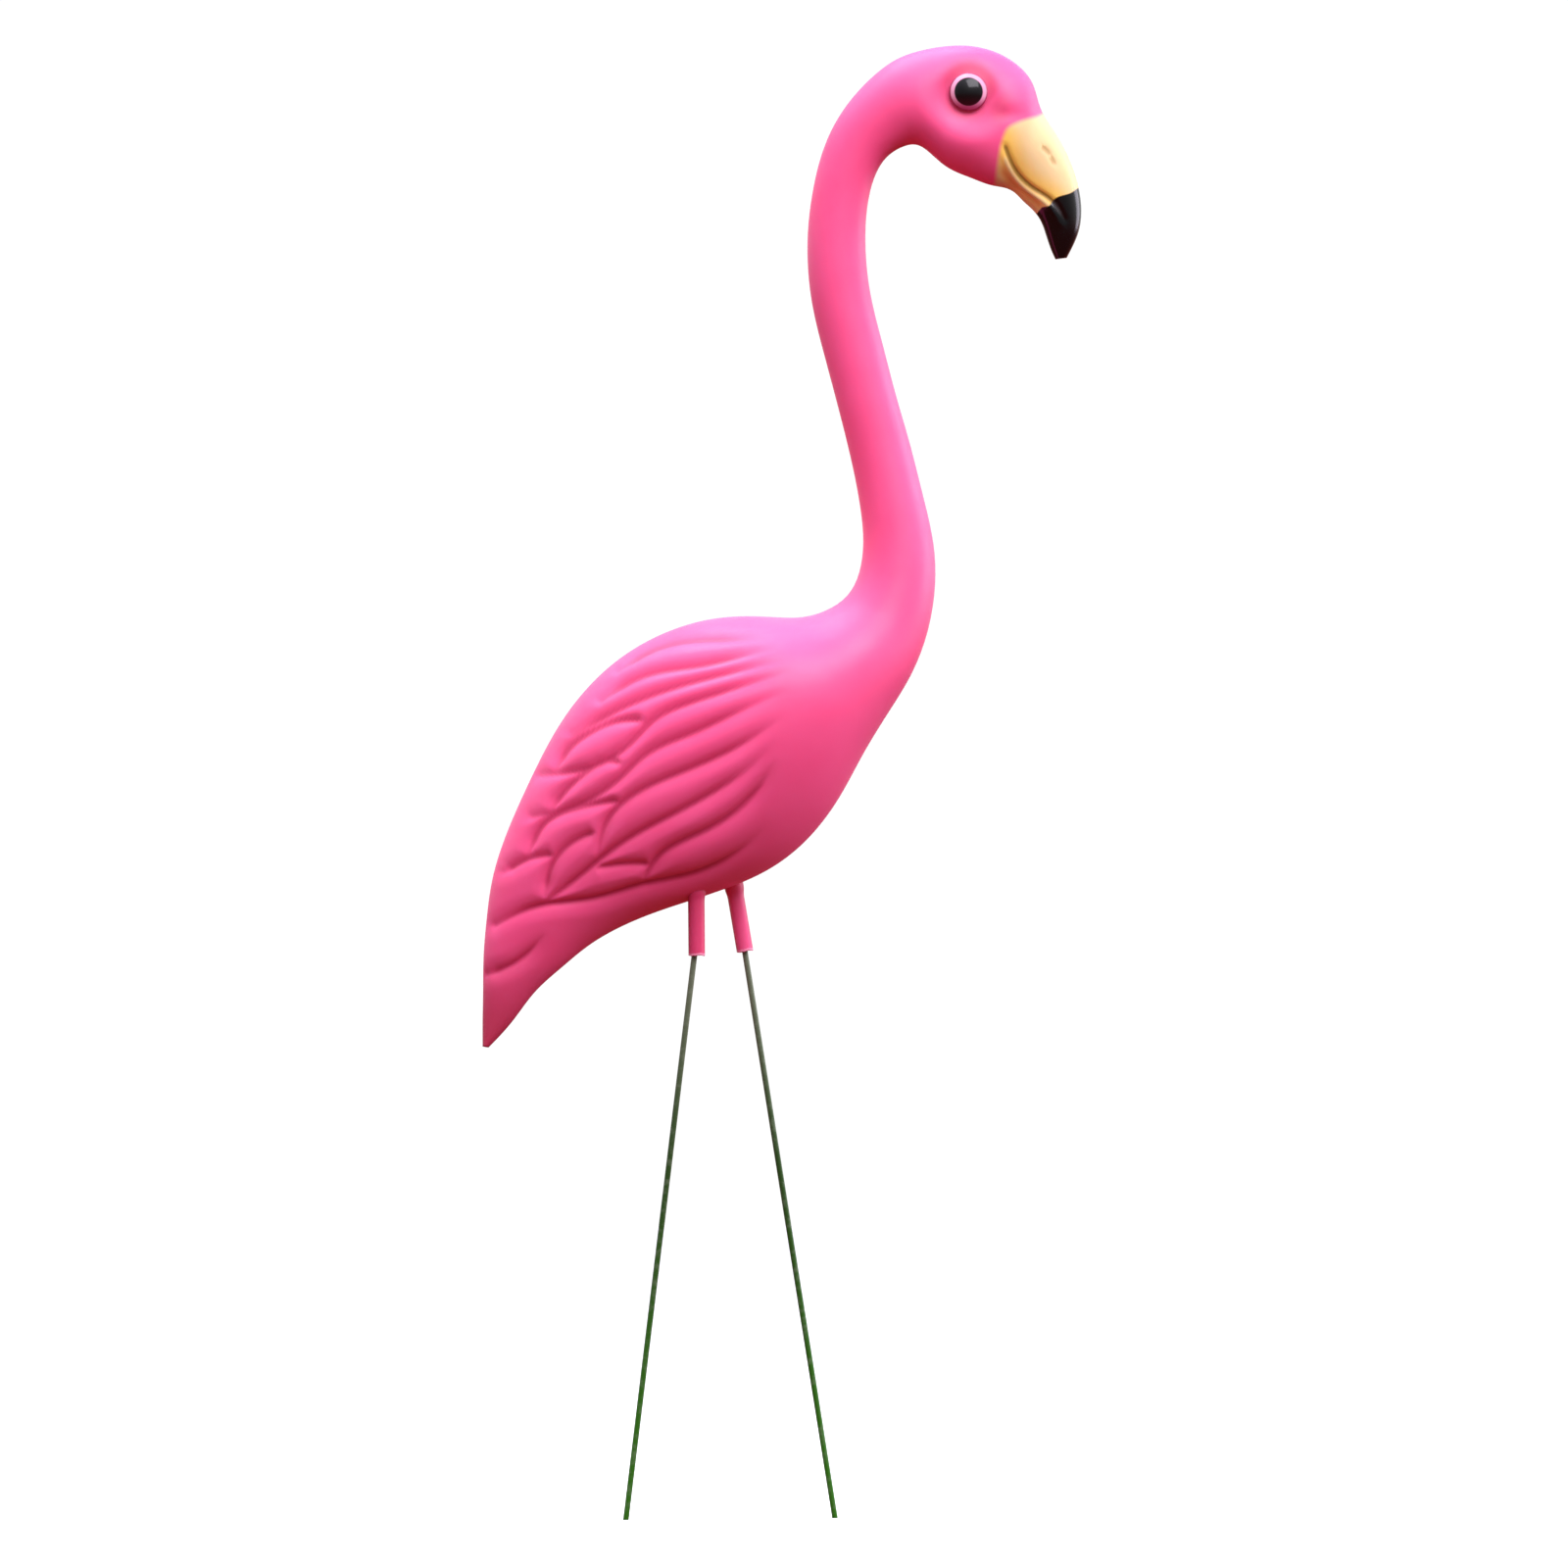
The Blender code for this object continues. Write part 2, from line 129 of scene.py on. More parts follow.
print(len(STATIONS), "stations, crown at", round(place(0, 1000).z, 3), "m")

# %% [markdown]
# The lines of the carving
#
# The sculptor cut the feathers, the mouth and the nostril as strokes of a gouge, so each is written down as
# a stroke on the side view: how deep it is, the share of its length over which it fades in, then its points.
# Reaches and depths are in metres, and the points are in the same thousandths as the stations.

# %% Feathers, mouth, jaw and nostril
GROOVES = [
    (0.8, 0.4, (48, 408), (-10, 410), (-54, 407), (-88, 395), (-113, 378)),
    (1.0, 0.4, (53, 400), (19, 394), (-44, 382), (-76, 377), (-103, 367), (-130, 348)),
    (1.0, 0.4, (65, 389), (-10, 374), (-73, 356), (-120, 336), (-159, 314)),
    (1.0, 0.35, (71, 378), (21, 365), (-43, 345), (-78, 328), (-101, 305), (-139, 282), (-192, 274)),
    (1.0, 0.14, (-80, 328), (-113, 328), (-146, 314), (-166, 297), (-175, 279)),
    (1.0, 0.35, (65, 360), (1, 333), (-43, 313), (-86, 293), (-108, 273), (-152, 244), (-198, 232)),
    (1.0, 0.14, (-103, 283), (-120, 288), (-150, 273), (-174, 248), (-180, 238)),
    (1.0, 0.35, (61, 337), (7, 301), (-50, 275), (-103, 249), (-124, 226), (-131, 193)),
    (1.0, 0.14, (-103, 249), (-148, 242), (-190, 222), (-202, 194)),
    (1.0, 0.35, (50, 315), (31, 291), (0, 266), (-59, 232), (-109, 204), (-155, 168), (-190, 142)),
    (0.9, 0.14, (-130, 218), (-161, 204), (-179, 182), (-184, 153)),
    (0.8, 0.14, (-174, 194), (-199, 191), (-226, 177)),
    (1.0, 0.3, (48, 294), (29, 260), (-28, 215), (-75, 186), (-86, 163)),
    (0.8, 0.14, (-77, 184), (-102, 184), (-136, 180)),
    (1.0, 0.3, (47, 233), (-5, 187), (-41, 172), (-85, 163), (-137, 149), (-201, 140), (-235, 124)),
    (0.9, 0.5, (-181, 120), (-210, 89), (-243, 75)),
]
GROOVE_DEPTH, GROOVE_REACH = 0.0026, 0.0092
CREASE_DEPTH, CREASE_REACH, BLUNT = 0.0009, 0.0034, 0.0008

# Share of the way round from the middle plane at which the carving starts, and at which it is full.
CARVING_FROM, CARVING_FULL = 0.05, 0.35

MOUTH_LINES = [
    (1.0, 0.1, (271, 905), (275, 893), (284.5, 873), (301, 857), (319, 845), (332, 826)),
]
MOUTH_DEPTH, MOUTH_REACH = 0.0012, 0.0028

# The raised edge of the lower jaw just under the mouth, and the hollow under that edge.
JAW_EDGES = [
    (1.0, 0.15, (269.5, 896), (275, 882), (283.5, 867.5), (294, 856.5), (306, 848), (318, 838), (326, 822)),
]
JAW_EDGE_HEIGHT, JAW_EDGE_REACH = 0.0008, 0.0032
JAW_HOLLOWS = [(1.0, 0.2, (267, 880), (274, 868), (282, 860), (292, 852.5), (302, 844), (309, 834))]
JAW_HOLLOW_DEPTH, JAW_HOLLOW_REACH = 0.0007, 0.0040

NOSTRILS = [
    (1.0, 0.1, (309.5, 899), (314, 895), (318.5, 891)),
    (0.9, 0.1, (318.5, 889), (320.5, 885.5), (322.5, 881)),
]
NOSTRIL_DEPTH, NOSTRIL_REACH = 0.0005, 0.0028

# Where the paint of the beak ends, drawn from the top of the beak down.
YELLOW_FROM = [
    (318, 942),
    (309, 931),
    (296, 926.5),
    (284, 922),
    (275, 916.5),
    (271, 909),
    (268, 900),
    (265, 882),
    (262, 855),
]
BLACK_FROM = [
    (352, 860),
    (346.3, 858),
    (340, 853.5),
    (332, 850.5),
    (321, 845),
    (317, 840),
    (310.5, 838.5),
    (306, 834),
    (300, 827),
]
print(len(GROOVES), "feather grooves")

# %% [markdown]
# Splines, grids and meshes
#
# The same few tools make every surface: a spline, an easing, and one function that turns a grid of points
# into a closed mesh. A grid closes on itself round each ring, and each end is drawn together into a pole.


# %% Easing and splines
def smooth_step(low, high, value):
    """3t^2 - 2t^3 of the value's share t of the way from low to high."""
    share = np.clip((value - low) / (high - low), 0, 1)
    return share * share * (3 - 2 * share)


def spline_through(knots, values, at):
    """Natural cubic spline through the rows of values, which lie at the knots."""
    count = len(knots)
    gap = np.diff(knots)
    system = np.eye(count)
    wanted = np.zeros_like(values)
    for i in range(1, count - 1):
        system[i, i - 1 : i + 2] = gap[i - 1], 2 * (gap[i - 1] + gap[i]), gap[i]
        wanted[i] = 6 * ((values[i + 1] - values[i]) / gap[i] - (values[i] - values[i - 1]) / gap[i - 1])
    bend = np.linalg.solve(system, wanted)
    k = np.clip(np.searchsorted(knots, at) - 1, 0, count - 2)
    width = gap[k][:, None]
    right = (at - knots[k])[:, None] / width
    left = 1 - right
    curve = left * values[k] + right * values[k + 1]
    return curve + ((left**3 - left) * bend[k] + (right**3 - right) * bend[k + 1]) * width**2 / 6


def lengths_along(points):
    """Length run at each point of a line of points."""
    steps = np.linalg.norm(np.diff(points, axis=0), axis=1)
    return np.concatenate([[0], np.cumsum(steps)])


# %% Grids into meshes
def outward_of(grid):
    """Unit normals of a grid: the cross product of its steps along and its steps around."""
    along = np.gradient(grid, axis=0)
    around = np.roll(grid, -1, axis=1) - np.roll(grid, 1, axis=1)
    normal = np.cross(along, around)
    return normal / np.linalg.norm(normal, axis=2, keepdims=True)


def closed_mesh(name, grid, layers=None):
    """Mesh of a grid of rings with a pole at each end. Layers are point values on the same grid, by name.

    Point (i, j) has number i * around + j, and the two poles come last.
    """
    rings, around = grid.shape[:2]
    points = np.concatenate([grid.reshape(-1, 3), grid[[0, -1]].mean(axis=1)])
    i, j = np.meshgrid(np.arange(rings - 1), np.arange(around), indexing="ij")
    after = (j + 1) % around
    here, above = i * around, (i + 1) * around
    quads = np.stack([here + j, here + after, above + after, above + j], -1)
    j = np.arange(around)
    after = (j + 1) % around
    low, high = rings * around, rings * around + 1
    last = (rings - 1) * around
    low_cap = np.stack([np.full(around, low), after, j], -1)
    high_cap = np.stack([np.full(around, high), last + j, last + after], -1)
    caps = np.concatenate([low_cap, high_cap])
    corners = np.concatenate([quads.reshape(-1), caps.reshape(-1)])
    counts = np.concatenate([np.full(quads.size // 4, 4), np.full(len(caps), 3)])
    mesh = bpy.data.meshes.new(name)
    mesh.vertices.add(len(points))
    mesh.vertices.foreach_set("co", points.astype(np.float32).reshape(-1))
    mesh.loops.add(len(corners))
    mesh.loops.foreach_set("vertex_index", corners.astype(np.int32))
    mesh.polygons.add(len(counts))
    mesh.polygons.foreach_set("loop_start", (np.cumsum(counts) - counts).astype(np.int32))
    mesh.update(calc_edges=True)
    mesh.shade_smooth()
    for layer, values in (layers or {}).items():
        ends = values[[0, -1]].mean(axis=1)
        stored = mesh.attributes.new(layer, "FLOAT", "POINT")
        stored.data.foreach_set("value", np.concatenate([values.reshape(-1), ends]).astype(np.float32))
    return mesh


# %% Meshes into pieces
def facing_out(mesh):
    """Turns the faces round if the mesh's volume comes out below zero, and gives the volume."""
    points = np.empty(len(mesh.vertices) * 3, np.float32)
    mesh.vertices.foreach_get("co", points)
    mesh.calc_loop_triangles()
    faces = np.empty(len(mesh.loop_triangles) * 3, np.int32)
    mesh.loop_triangles.foreach_get("vertices", faces)
    corners = points.reshape(-1, 3)[faces.reshape(-1, 3)].astype(float)
    volume = np.einsum("ij,ij->i", corners[:, 0], np.cross(corners[:, 1], corners[:, 2])).sum() / 6
    if volume < 0:
        mesh.flip_normals()
    return abs(volume)


def piece(name, mesh, material, node):
    """Puts a mesh into the scene as the piece that stands for a CAD node."""
    volume = facing_out(mesh)
    obj = bpy.data.objects.new(name, mesh)
    bpy.context.scene.collection.objects.link(obj)
    mesh.materials.append(material)
    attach(obj, "root")
    if node:
        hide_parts(node)
    print(f"{name}: {len(mesh.polygons)} faces, {volume * 1e6:.1f} cm3")


# %% [markdown]
# Carving
#
# The feathers of a blow-moulded figure are cut into the mould from the side, so their grooves run where the
# side view shows them and fade out toward the middle plane, where the two halves of the mould meet. Each
# groove is a spline in the side view. The nearer a point lies to it, the deeper it is cut: the square of one
# minus the distance over the groove's reach, which leaves each feather rounded like a pillow between two
# creases.

# %% How deep a point is cut
PATH_STEPS = 40
ENDING_FROM, LEFT_AT_END = 0.85, 0.5


def path_of(points):
    """Points in metres, as x and z, along the spline through points of the drawing."""
    points = np.array(points, float)
    knots = lengths_along(points)
    path = spline_through(knots, points, np.linspace(0, knots[-1], PATH_STEPS))
    return np.array(place(0, 0))[[0, 2]] + path * SHARE


def nearest_on(path, x, z):
    """Distance from each point to the path, the side it lies on, and how far along the path that is."""
    away = np.full(x.shape, np.inf)
    side = np.zeros(x.shape)
    run = np.zeros(x.shape)
    for i in range(len(path) - 1):
        start, step = path[i], path[i + 1] - path[i]
        along = np.clip(((x - start[0]) * step[0] + (z - start[1]) * step[1]) / (step @ step), 0, 1)
        gap_x, gap_z = x - start[0] - along * step[0], z - start[1] - along * step[1]
        gap = np.hypot(gap_x, gap_z)
        nearer = gap < away
        away = np.where(nearer, gap, away)
        side = np.where(nearer, np.sign(step[0] * gap_z - step[1] * gap_x), side)
        run = np.where(nearer, (i + along) / (len(path) - 1), run)
    return away, side, run


def groove_cut(x, z, line, reach):
    """Depth from 0 to 1 of a groove: depth * ease(run) * (1 - d / reach)^2, with d blunted near 0."""
    depth, fade, *points = line
    away, _, run = nearest_on(path_of(points), x, z)
    ending = 1 - LEFT_AT_END * smooth_step(ENDING_FROM, 1, run)
    ease = depth * smooth_step(0, fade, run) * ending
    blunted = np.hypot(away, BLUNT) - BLUNT
    return ease * np.clip(1 - blunted / reach, 0, 1) ** 2


def deepest(x, z, lines, reach):
    """The deepest cut of several grooves at each point."""
    cut = np.zeros_like(x)
    for line in lines:
        cut = np.maximum(cut, groove_cut(x, z, line, reach))
    return cut


# %% [markdown]
# The skin
#
# On the real figure one tube of hot polyethylene is blown against two mould halves, so body, neck, head and
# beak are one skin. Here it is one grid: rings of points from the tail to the beak. Ring u and angle v give
# the point middle(u) + cos(v) * half(u) + sin(v) * width(u) sideways. The rings lie close together where
# there is carving, and far apart on the plain neck.

# %% The smooth skin
RING_POINTS = 208
BODY_RINGS, NECK_RINGS, HEAD_RINGS = 262, 52, 154
RINGS = BODY_RINGS + NECK_RINGS + HEAD_RINGS
SIDE_GATHER = 0.15


def ring_places(knots):
    """Places of the rings along the figure, part by part."""
    body = np.linspace(0, knots[NECK_FROM], BODY_RINGS, endpoint=False)
    neck = np.linspace(knots[NECK_FROM], knots[HEAD_FROM], NECK_RINGS, endpoint=False)
    return np.concatenate([body, neck, np.linspace(knots[HEAD_FROM], knots[-1], HEAD_RINGS)])


def skin_grid():
    """The smooth skin as a grid of points, and how far each point is to the side."""
    knots = (lengths_along(STATIONS[:, 0:2]) + lengths_along(STATIONS[:, 2:4])) / 2
    drawn = spline_through(knots, STATIONS, ring_places(knots))
    turn = np.linspace(0, 2 * np.pi, RING_POINTS, endpoint=False)
    turn = turn + SIDE_GATHER * np.sin(2 * turn)
    upward, sideways = np.cos(turn)[None, :], np.sin(turn)[None, :]
    middle = (drawn[:, 0:2] + drawn[:, 2:4]) / 2
    half = (drawn[:, 0:2] - drawn[:, 2:4]) / 2
    grid = np.empty((RINGS, RING_POINTS, 3))
    grid[..., 0] = middle[:, 0:1] + half[:, 0:1] * upward
    grid[..., 1] = drawn[:, 4:5] * sideways
    grid[..., 2] = middle[:, 1:2] + half[:, 1:2] * upward
    return grid * SHARE + np.array(place(0, 0)), np.broadcast_to(sideways, (RINGS, RING_POINTS))


grid, sideways = skin_grid()
across = np.abs(sideways)
x, z = grid[..., 0], grid[..., 2]
print("smooth skin:", RINGS, "rings of", RING_POINTS, "points")

# %% Carve it
# Forms of the head that the stations can't give: x, height and two radii on the drawing, metres outward.
HEAD_FORMS = [
    (238, 992, 42, 12, 0.0010),
    (291, 955, 14, 22, 0.0008),
    (238, 898, 28, 19, 0.0016),
    (277, 930, 17, 8, -0.0010),
    (300, 900, 16, 20, 0.0006),
]
side_fade = smooth_step(CARVING_FROM, CARVING_FULL, across)
feather_cut = deepest(x, z, GROOVES, GROOVE_REACH) * side_fade
crease_cut = deepest(x, z, GROOVES, CREASE_REACH) * side_fade
mouth_cut = deepest(x, z, MOUTH_LINES, MOUTH_REACH) * side_fade
jaw_edge = deepest(x, z, JAW_EDGES, JAW_EDGE_REACH) * side_fade
jaw_hollow = deepest(x, z, JAW_HOLLOWS, JAW_HOLLOW_REACH) * side_fade
nostril = deepest(x, z, NOSTRILS, NOSTRIL_REACH) * side_fade
out = -GROOVE_DEPTH * feather_cut - CREASE_DEPTH * crease_cut - MOUTH_DEPTH * mouth_cut
out = out + JAW_EDGE_HEIGHT * jaw_edge - JAW_HOLLOW_DEPTH * jaw_hollow - NOSTRIL_DEPTH * nostril
for centre_x, centre_z, radius_x, radius_z, height in HEAD_FORMS:
    centre = place(centre_x, centre_z)
    away = ((x - centre.x) / (radius_x * SHARE)) ** 2 + ((z - centre.z) / (radius_z * SHARE)) ** 2
    out = out + height * np.exp(-away) * side_fade
carved = grid + outward_of(grid) * out[..., None]
print("deepest groove, mm:", round(-1000 * out.min(), 2))

# %% [markdown]
# The eye socket
#
# The eye is a separate button, so the mould presses a flat seat for it into each side of the head. A hard
# step would leave a ring, so the press is soft: what stands over the seat's level is taken down along a
# rounded corner, and the press eases off with the distance from the eye. A shallow gutter runs round the
# button, deepest a little outside its rim.

# %% Press the sockets
EYE_AT = (236.6, 952.2)
EYE_RIM_OUT = 38
FLAT_RADIUS, FLAT_SHARE, FLAT_BLUNT, RIM_PROUD = 54, 0.38, 0.003, 0.0006
GUTTER_DEPTH, GUTTER_RADIUS, GUTTER_WIDTH = 0.0011, 0.0125, 0.0058
GUTTER_FROM, GUTTER_FULL = 0.2, 0.6

eye_at = place(*EYE_AT)
from_eye = np.hypot(x - eye_at.x, z - eye_at.z)
flat = 1 - smooth_step(FLAT_SHARE, 1, from_eye / (FLAT_RADIUS * SHARE))
over = np.abs(carved[..., 1]) - (EYE_RIM_OUT * SHARE - RIM_PROUD)
carved[..., 1] -= np.sign(carved[..., 1]) * flat * (over + np.hypot(over, FLAT_BLUNT)) / 2
gutter = np.exp(-(((from_eye - GUTTER_RADIUS) / GUTTER_WIDTH) ** 2))
sunk = GUTTER_DEPTH * gutter * smooth_step(GUTTER_FROM, GUTTER_FULL, across)
carved[..., 1] -= np.sign(carved[..., 1]) * sunk
print("deepest gutter, mm:", round(1000 * sunk.max(), 2))

# %% [markdown]
# Where the colours go
#
# The colours don't follow the shape alone, so each point of the skin carries what they need to know: how
# deep it lies in each kind of cut, and how many millimetres it is from the edges of the yellow and the black.
# The layers are stored on the mesh, and the material reads them. Above the eye, and on the lore between the
# eye and the beak, a deeper red is painted on as shade, which the socket shade layer holds.

# %% Layers for the colours
# Painted shade round the eye, stronger above it, and on the lore in front of it.
SOCKET_UNDER, SOCKET_OVER = 0.45, 0.55
SOCKET_FROM, SOCKET_TO, SOCKET_LEAN = -0.008, 0.014, 0.3
LORE_AT = (268, 936)
LORE_WIDTH, LORE_HEIGHT, LORE_SHADE = 0.0085, 0.0105, 0.75
FAR_MM = 99.0

upper = smooth_step(SOCKET_FROM, SOCKET_TO, z - eye_at.z + SOCKET_LEAN * (x - eye_at.x))
lore_at = place(*LORE_AT)
lore = np.exp(-(((x - lore_at.x) / LORE_WIDTH) ** 2) - ((z - lore_at.z) / LORE_HEIGHT) ** 2)
yellow_away, yellow_side, _ = nearest_on(path_of(YELLOW_FROM), x, z)
black_away, black_side, _ = nearest_on(path_of(BLACK_FROM), x, z)
yellow_mm = 1000 * yellow_away * yellow_side
mouth_away = np.full(x.shape, np.inf)
for line in MOUTH_LINES:
    mouth_away = np.minimum(mouth_away, nearest_on(path_of(line[2:]), x, z)[0])
layers = {
    "groove": crease_cut,
    "hollow": feather_cut,
    # painted shade round the eye and on the lore
    "socket": np.maximum(gutter * (SOCKET_UNDER + SOCKET_OVER * upper), LORE_SHADE * lore),
    "mouth": mouth_cut,
    "jaw_edge": jaw_edge,
    "jaw_hollow": jaw_hollow,
    "nostril": nostril,
    "yellow_mm": yellow_mm,
    "black_mm": np.minimum(1000 * black_away * black_side, yellow_mm),
    "seam_mm": 1000 * np.abs(grid[..., 1]),
    "cut_mm": np.full(x.shape, FAR_MM),
    "mouth_mm": 1000 * mouth_away,
}
print("yellow sides:", yellow_mm.min().round(1), yellow_mm.max().round(1))


def plain_value(name):
    """The value of a layer far from paint and cuts: the pink side of the paint, far in mm, or else 0."""
    if name in ("yellow_mm", "black_mm"):
        return -FAR_MM
    return FAR_MM if name.endswith("_mm") else 0.0


# %% [markdown]
# Materials
#
# Colours are given as sRGB hex codes, and one function turns them into the linear values that a shader needs.
# They were set by comparing the mean colours of spots and regions of the render with those of the photo.
# Refraction has typical values, polyethylene 1.51 and acrylic 1.49, and roughness was set by look.


# %% Tools for materials
def linear(code):
    """Linear colour of an sRGB hex code: c / 12.92 below 0.04045, else ((c + 0.055) / 1.055)^2.4."""
    parts = [int(code[i : i + 2], 16) / 255 for i in (0, 2, 4)]
    return (*[c / 12.92 if c <= 0.04045 else ((c + 0.055) / 1.055) ** 2.4 for c in parts], 1.0)


def add(tree, kind, inputs=None, **settings):
    """Adds a node, sets its settings, and gives its inputs values or links."""
    node = tree.nodes.new(kind)
    for key, value in settings.items():
        setattr(node, key, value)
    give(tree, node, inputs or {})
    return node


def give(tree, node, inputs):
    """Values or links for a node's inputs."""
    for key, value in inputs.items():
        if isinstance(value, bpy.types.NodeSocket):
            tree.links.new(value, node.inputs[key])
        else:
            node.inputs[key].default_value = value


def layer(tree, name):
    """The values of a mesh layer."""
    return add(tree, "ShaderNodeAttribute", attribute_name=name).outputs["Fac"]


def own_place(tree):
    """The object's own coordinates."""
    return add(tree, "ShaderNodeTexCoord").outputs["Object"]


def height_of(tree):
    """Height over the ground, since every piece has its origin there."""
    return add(tree, "ShaderNodeSeparateXYZ", {0: own_place(tree)}).outputs["Z"]


def step(tree, value, low, high, to_low=0.0, to_high=1.0):
    """Smooth step of a value from one range into another."""
    ranged = {"Value": value, "From Min": low, "From Max": high, "To Min": to_low, "To Max": to_high}
    return add(tree, "ShaderNodeMapRange", ranged, interpolation_type="SMOOTHSTEP").outputs["Result"]


def blend(tree, share, first, second):
    """Mix of two colours, which are hex codes or sockets."""
    pair = [linear(c) if isinstance(c, str) else c for c in (first, second)]
    return add(tree, "ShaderNodeMix", {0: share, 6: pair[0], 7: pair[1]}, data_type="RGBA").outputs[2]


def shade(tree, name, low, high, most, under, over):
    """Lays a colour over another where a layer is high: none of it at low, and the share most at high."""
    return blend(tree, step(tree, layer(tree, name), low, high, 0.0, most), under, over)


def noise(tree, size, detail=3.0):
    """Noise with features of about that size in metres, over the object's own coordinates."""
    inputs = {"Vector": own_place(tree), "Scale": 1 / size, "Detail": detail}
    return add(tree, "ShaderNodeTexNoise", inputs).outputs["Fac"]


def new_material(name):
    """An empty material, its node tree and its shader."""
    material = bpy.data.materials.new(name)
    material.use_nodes = True
    tree = material.node_tree
    return material, tree, tree.nodes["Principled BSDF"]


# %% [markdown]
# Pink polyethylene
#
# The plastic is coloured right through, so it glows a little where light gets into it, and its surface keeps
# the satin of the mould. A deeper red is painted on as shade in the hollows and creases, round the eye, on
# the lore, on the spouts and low on the tail. The beak is airbrushed: the yellow fades in over a few
# millimetres, and the black tip is masked more sharply. On the beak, painted shade lies under the jaw's edge,
# and a painted highlight lies on that edge and along the mouth in the black. Where the plastic is cut, at the
# mouths of the spouts, it is paler. A thin seam runs along the middle plane, where the two halves of the
# mould met. Each shade is laid over the last one by a layer of the mesh.

# %% Colours of the plastic and its paint
# CRIMSON is painted shade, laid into the grooves, round the eye and on the spouts.
PINK, DEEP_PINK, PALE_PINK, CRIMSON = "FF5A96", "F63C7A", "FFA8C8", "C01A50"
# The tail's red is painted shade: darker toward the bottom, between the two heights below.
TAIL_SHADE_RED, SEAM_PURPLE = "A0182C", "8A3A6A"
TAIL_RED_LOW, TAIL_RED_HIGH = 0.280, 0.350
CREAM, GOLD, ORANGE, BROWN, BUFF = "EACB94", "FCCA5C", "E8AA58", "7A5820", "B8945A"
# HIGHLIGHT_BLACK is a painted highlight: a paler line along the mouth in the black tip.
BLACK, HIGHLIGHT_BLACK = "050407", "5A5658"


def pink_plastic(tree):
    """Pink with painted shade in the grooves, round the eye and low on the tail, and paler where it is cut.
    """
    pink = blend(tree, step(tree, noise(tree, 0.05, 2.0), 0.35, 0.7, 0.0, 0.25), PINK, DEEP_PINK)
    # Painted shade: a deeper red in the wide feather hollows and along the spouts' sides.
    pink = shade(tree, "hollow", 0.15, 1.0, 0.22, pink, CRIMSON)
    # Painted shade: the plastic is painted darker red toward the bottom, at the tail.
    tail_shade = step(tree, height_of(tree), TAIL_RED_LOW, TAIL_RED_HIGH, 0.75, 0.0)
    pink = blend(tree, tail_shade, pink, TAIL_SHADE_RED)
    # Painted shade: a deeper red in the narrow creases and along the spouts' sides.
    pink = shade(tree, "groove", 0.2, 0.9, 0.5, pink, CRIMSON)
    # Painted shade: a deeper red round the eye, on the lore, and on the spouts under the belly.
    pink = shade(tree, "socket", 0.0, 1.0, 0.75, pink, CRIMSON)
    return blend(tree, step(tree, layer(tree, "cut_mm"), 0.2, 1.4, 0.7, 0.0), pink, PALE_PINK)


def yellow_paint(tree):
    """Cream turning golden toward the mouth, painted shade and highlight at the jaw's edge, mouth line and
    nostril.
    """
    near_mouth = step(tree, layer(tree, "mouth_mm"), 1.0, 14.0, 1.0, 0.0)
    yellow = blend(tree, near_mouth, CREAM, GOLD)
    # Painted shade: orange in the hollow under the jaw's edge.
    yellow = shade(tree, "jaw_hollow", 0.1, 1.0, 0.6, yellow, ORANGE)
    # Painted highlight: paler cream on the raised edge of the jaw.
    yellow = shade(tree, "jaw_edge", 0.3, 0.9, 0.8, yellow, CREAM)
    yellow = shade(tree, "mouth", 0.3, 0.9, 0.75, yellow, BROWN)
    return shade(tree, "nostril", 0.1, 0.9, 0.75, yellow, BUFF)


# %% Polyethylene with an airbrushed beak
def satin_polyethylene():
    """The plastic, its paint, and three fine reliefs: the mould's grain, a slow ripple, and the seam."""
    material, tree, shader = new_material("pink_polyethylene")
    yellow_share = step(tree, layer(tree, "yellow_mm"), -1.6, 2.2)
    colour = blend(tree, yellow_share, pink_plastic(tree), yellow_paint(tree))
    seam = step(tree, layer(tree, "seam_mm"), 0.2, 0.6, 1.0, 0.0)
    colour = blend(tree, step(tree, seam, 0.0, 1.0, 0.0, 0.25), colour, SEAM_PURPLE)
    black_share = step(tree, layer(tree, "black_mm"), -0.5, 0.5)
    # Painted highlight: a paler line along the mouth groove in the black tip.
    black = shade(tree, "mouth", 0.3, 1.0, 0.5, BLACK, HIGHLIGHT_BLACK)
    colour = blend(tree, black_share, colour, black)
    satin = step(tree, noise(tree, 0.02), 0.3, 0.7, 0.44, 0.52)
    grain = {"Height": noise(tree, 0.0012, 4.0), "Strength": 0.06, "Distance": 0.0004}
    grain = add(tree, "ShaderNodeBump", grain).outputs[0]
    ripple = {"Height": noise(tree, 0.03, 2.0), "Strength": 0.12, "Distance": 0.0015, "Normal": grain}
    ripple = add(tree, "ShaderNodeBump", ripple).outputs[0]
    line = {"Height": seam, "Strength": 0.6, "Distance": 0.0003, "Normal": ripple}
    finish = {
        "Base Color": colour,
        "Roughness": step(tree, black_share, 0.0, 1.0, satin, 0.17),
        "IOR": 1.51,
        "Specular IOR Level": 0.45,
        "Subsurface Weight": 0.18,
        "Subsurface Radius": (1.0, 0.25, 0.45),
        "Subsurface Scale": 0.004,
        "Normal": add(tree, "ShaderNodeBump", line).outputs[0],
    }
    give(tree, shader, finish)
    print(material.name, "has", len(tree.nodes), "nodes")
    return material


# %% [markdown]
# Dress the body
#
# The moulded ends of the tail and the beak are small rounded flats. A few more rings at each end, drawn
# together on a quarter circle, close the grid that way. The skin is kept inside the CAD's box, which it
# touches at the widest ring.

# %% Make the skin
CAP_STEPS = 5


